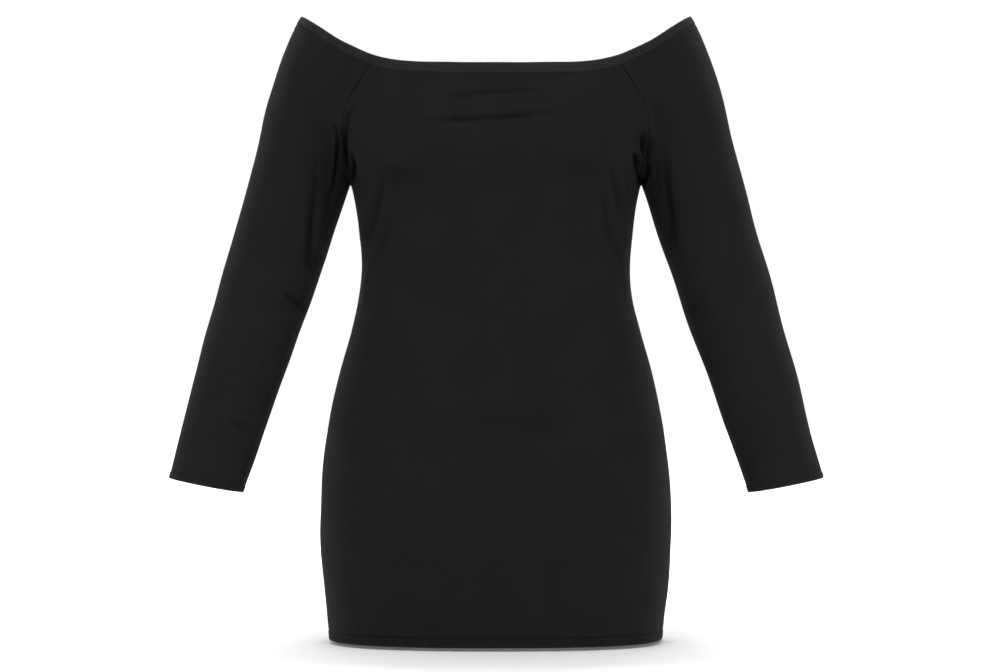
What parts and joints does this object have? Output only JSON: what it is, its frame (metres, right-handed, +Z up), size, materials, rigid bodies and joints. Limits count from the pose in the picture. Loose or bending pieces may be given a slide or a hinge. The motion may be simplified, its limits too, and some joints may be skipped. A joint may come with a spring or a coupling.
{
  "type": "off-the-shoulder bodycon mini dress",
  "caption": "Hollow, figure-shaped mini dress in plain black jersey, with a straight off-the-shoulder neck band and long raglan sleeves, filled out as worn.",
  "frame": {"origin": "middle of the neck opening, level with the top edge of the front neckline, where the band holds the dress on the wearer", "axes": "+X towards the wearer's left side, +Y out of the back, +Z up; the front faces -Y"},
  "size_m": [0.78, 0.2876, 0.7446],
  "materials": {
    "front_panel": "matt double-knit jersey",
    "back_panel": "matt double-knit jersey",
    "sleeve_left": "matt double-knit jersey",
    "sleeve_right": "matt double-knit jersey",
    "neck_band": "matt double-knit jersey"
  },
  "bodies": {
    "root": {"front_panel": "front_panel", "back_panel": "back_panel", "sleeve_left": "sleeve_left", "sleeve_right": "sleeve_right", "neck_band": "neck_band"}
  },
  "joints": []
}
